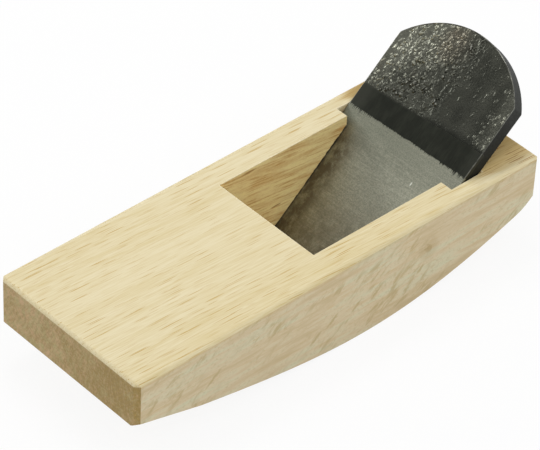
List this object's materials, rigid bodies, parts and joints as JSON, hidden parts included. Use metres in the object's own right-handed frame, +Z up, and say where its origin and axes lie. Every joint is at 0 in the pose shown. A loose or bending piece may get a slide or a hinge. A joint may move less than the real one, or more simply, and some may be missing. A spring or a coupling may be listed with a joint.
{
  "type": "japanese kanna plane",
  "caption": "Wooden hand plane with a sole curved up to both ends and a single wedge-shaped blade held in side grooves, leaning back out of an open shavings throat.",
  "frame": {"origin": "under the middle of the whole plane, on the surface that the lowest line of the curved sole touches", "axes": "+X along the block from the near end, which the plane is pulled towards, to the far end; +Y across, to the left of someone at the near end; +Z up, square to the flat deck"},
  "size_m": [0.1614, 0.059, 0.0562],
  "materials": {
    "oak": "planed pale oak, bare, with fine brown pores along the grain",
    "forged_iron": "black forge skin, finely hammered towards the head, dull sheen",
    "ground_steel": "satin ground steel with fine cross scratches"
  },
  "bodies": {
    "block": {"block": "oak"},
    "blade": {"blade_body": "forged_iron", "blade_facing": "ground_steel"}
  },
  "joints": [
    {"name": "blade_slide", "type": "slide", "parent": "block", "child": "blade", "axis": [0.7615, 0, 0.6481], "range_m": [-0.001, 0.09]}
  ]
}
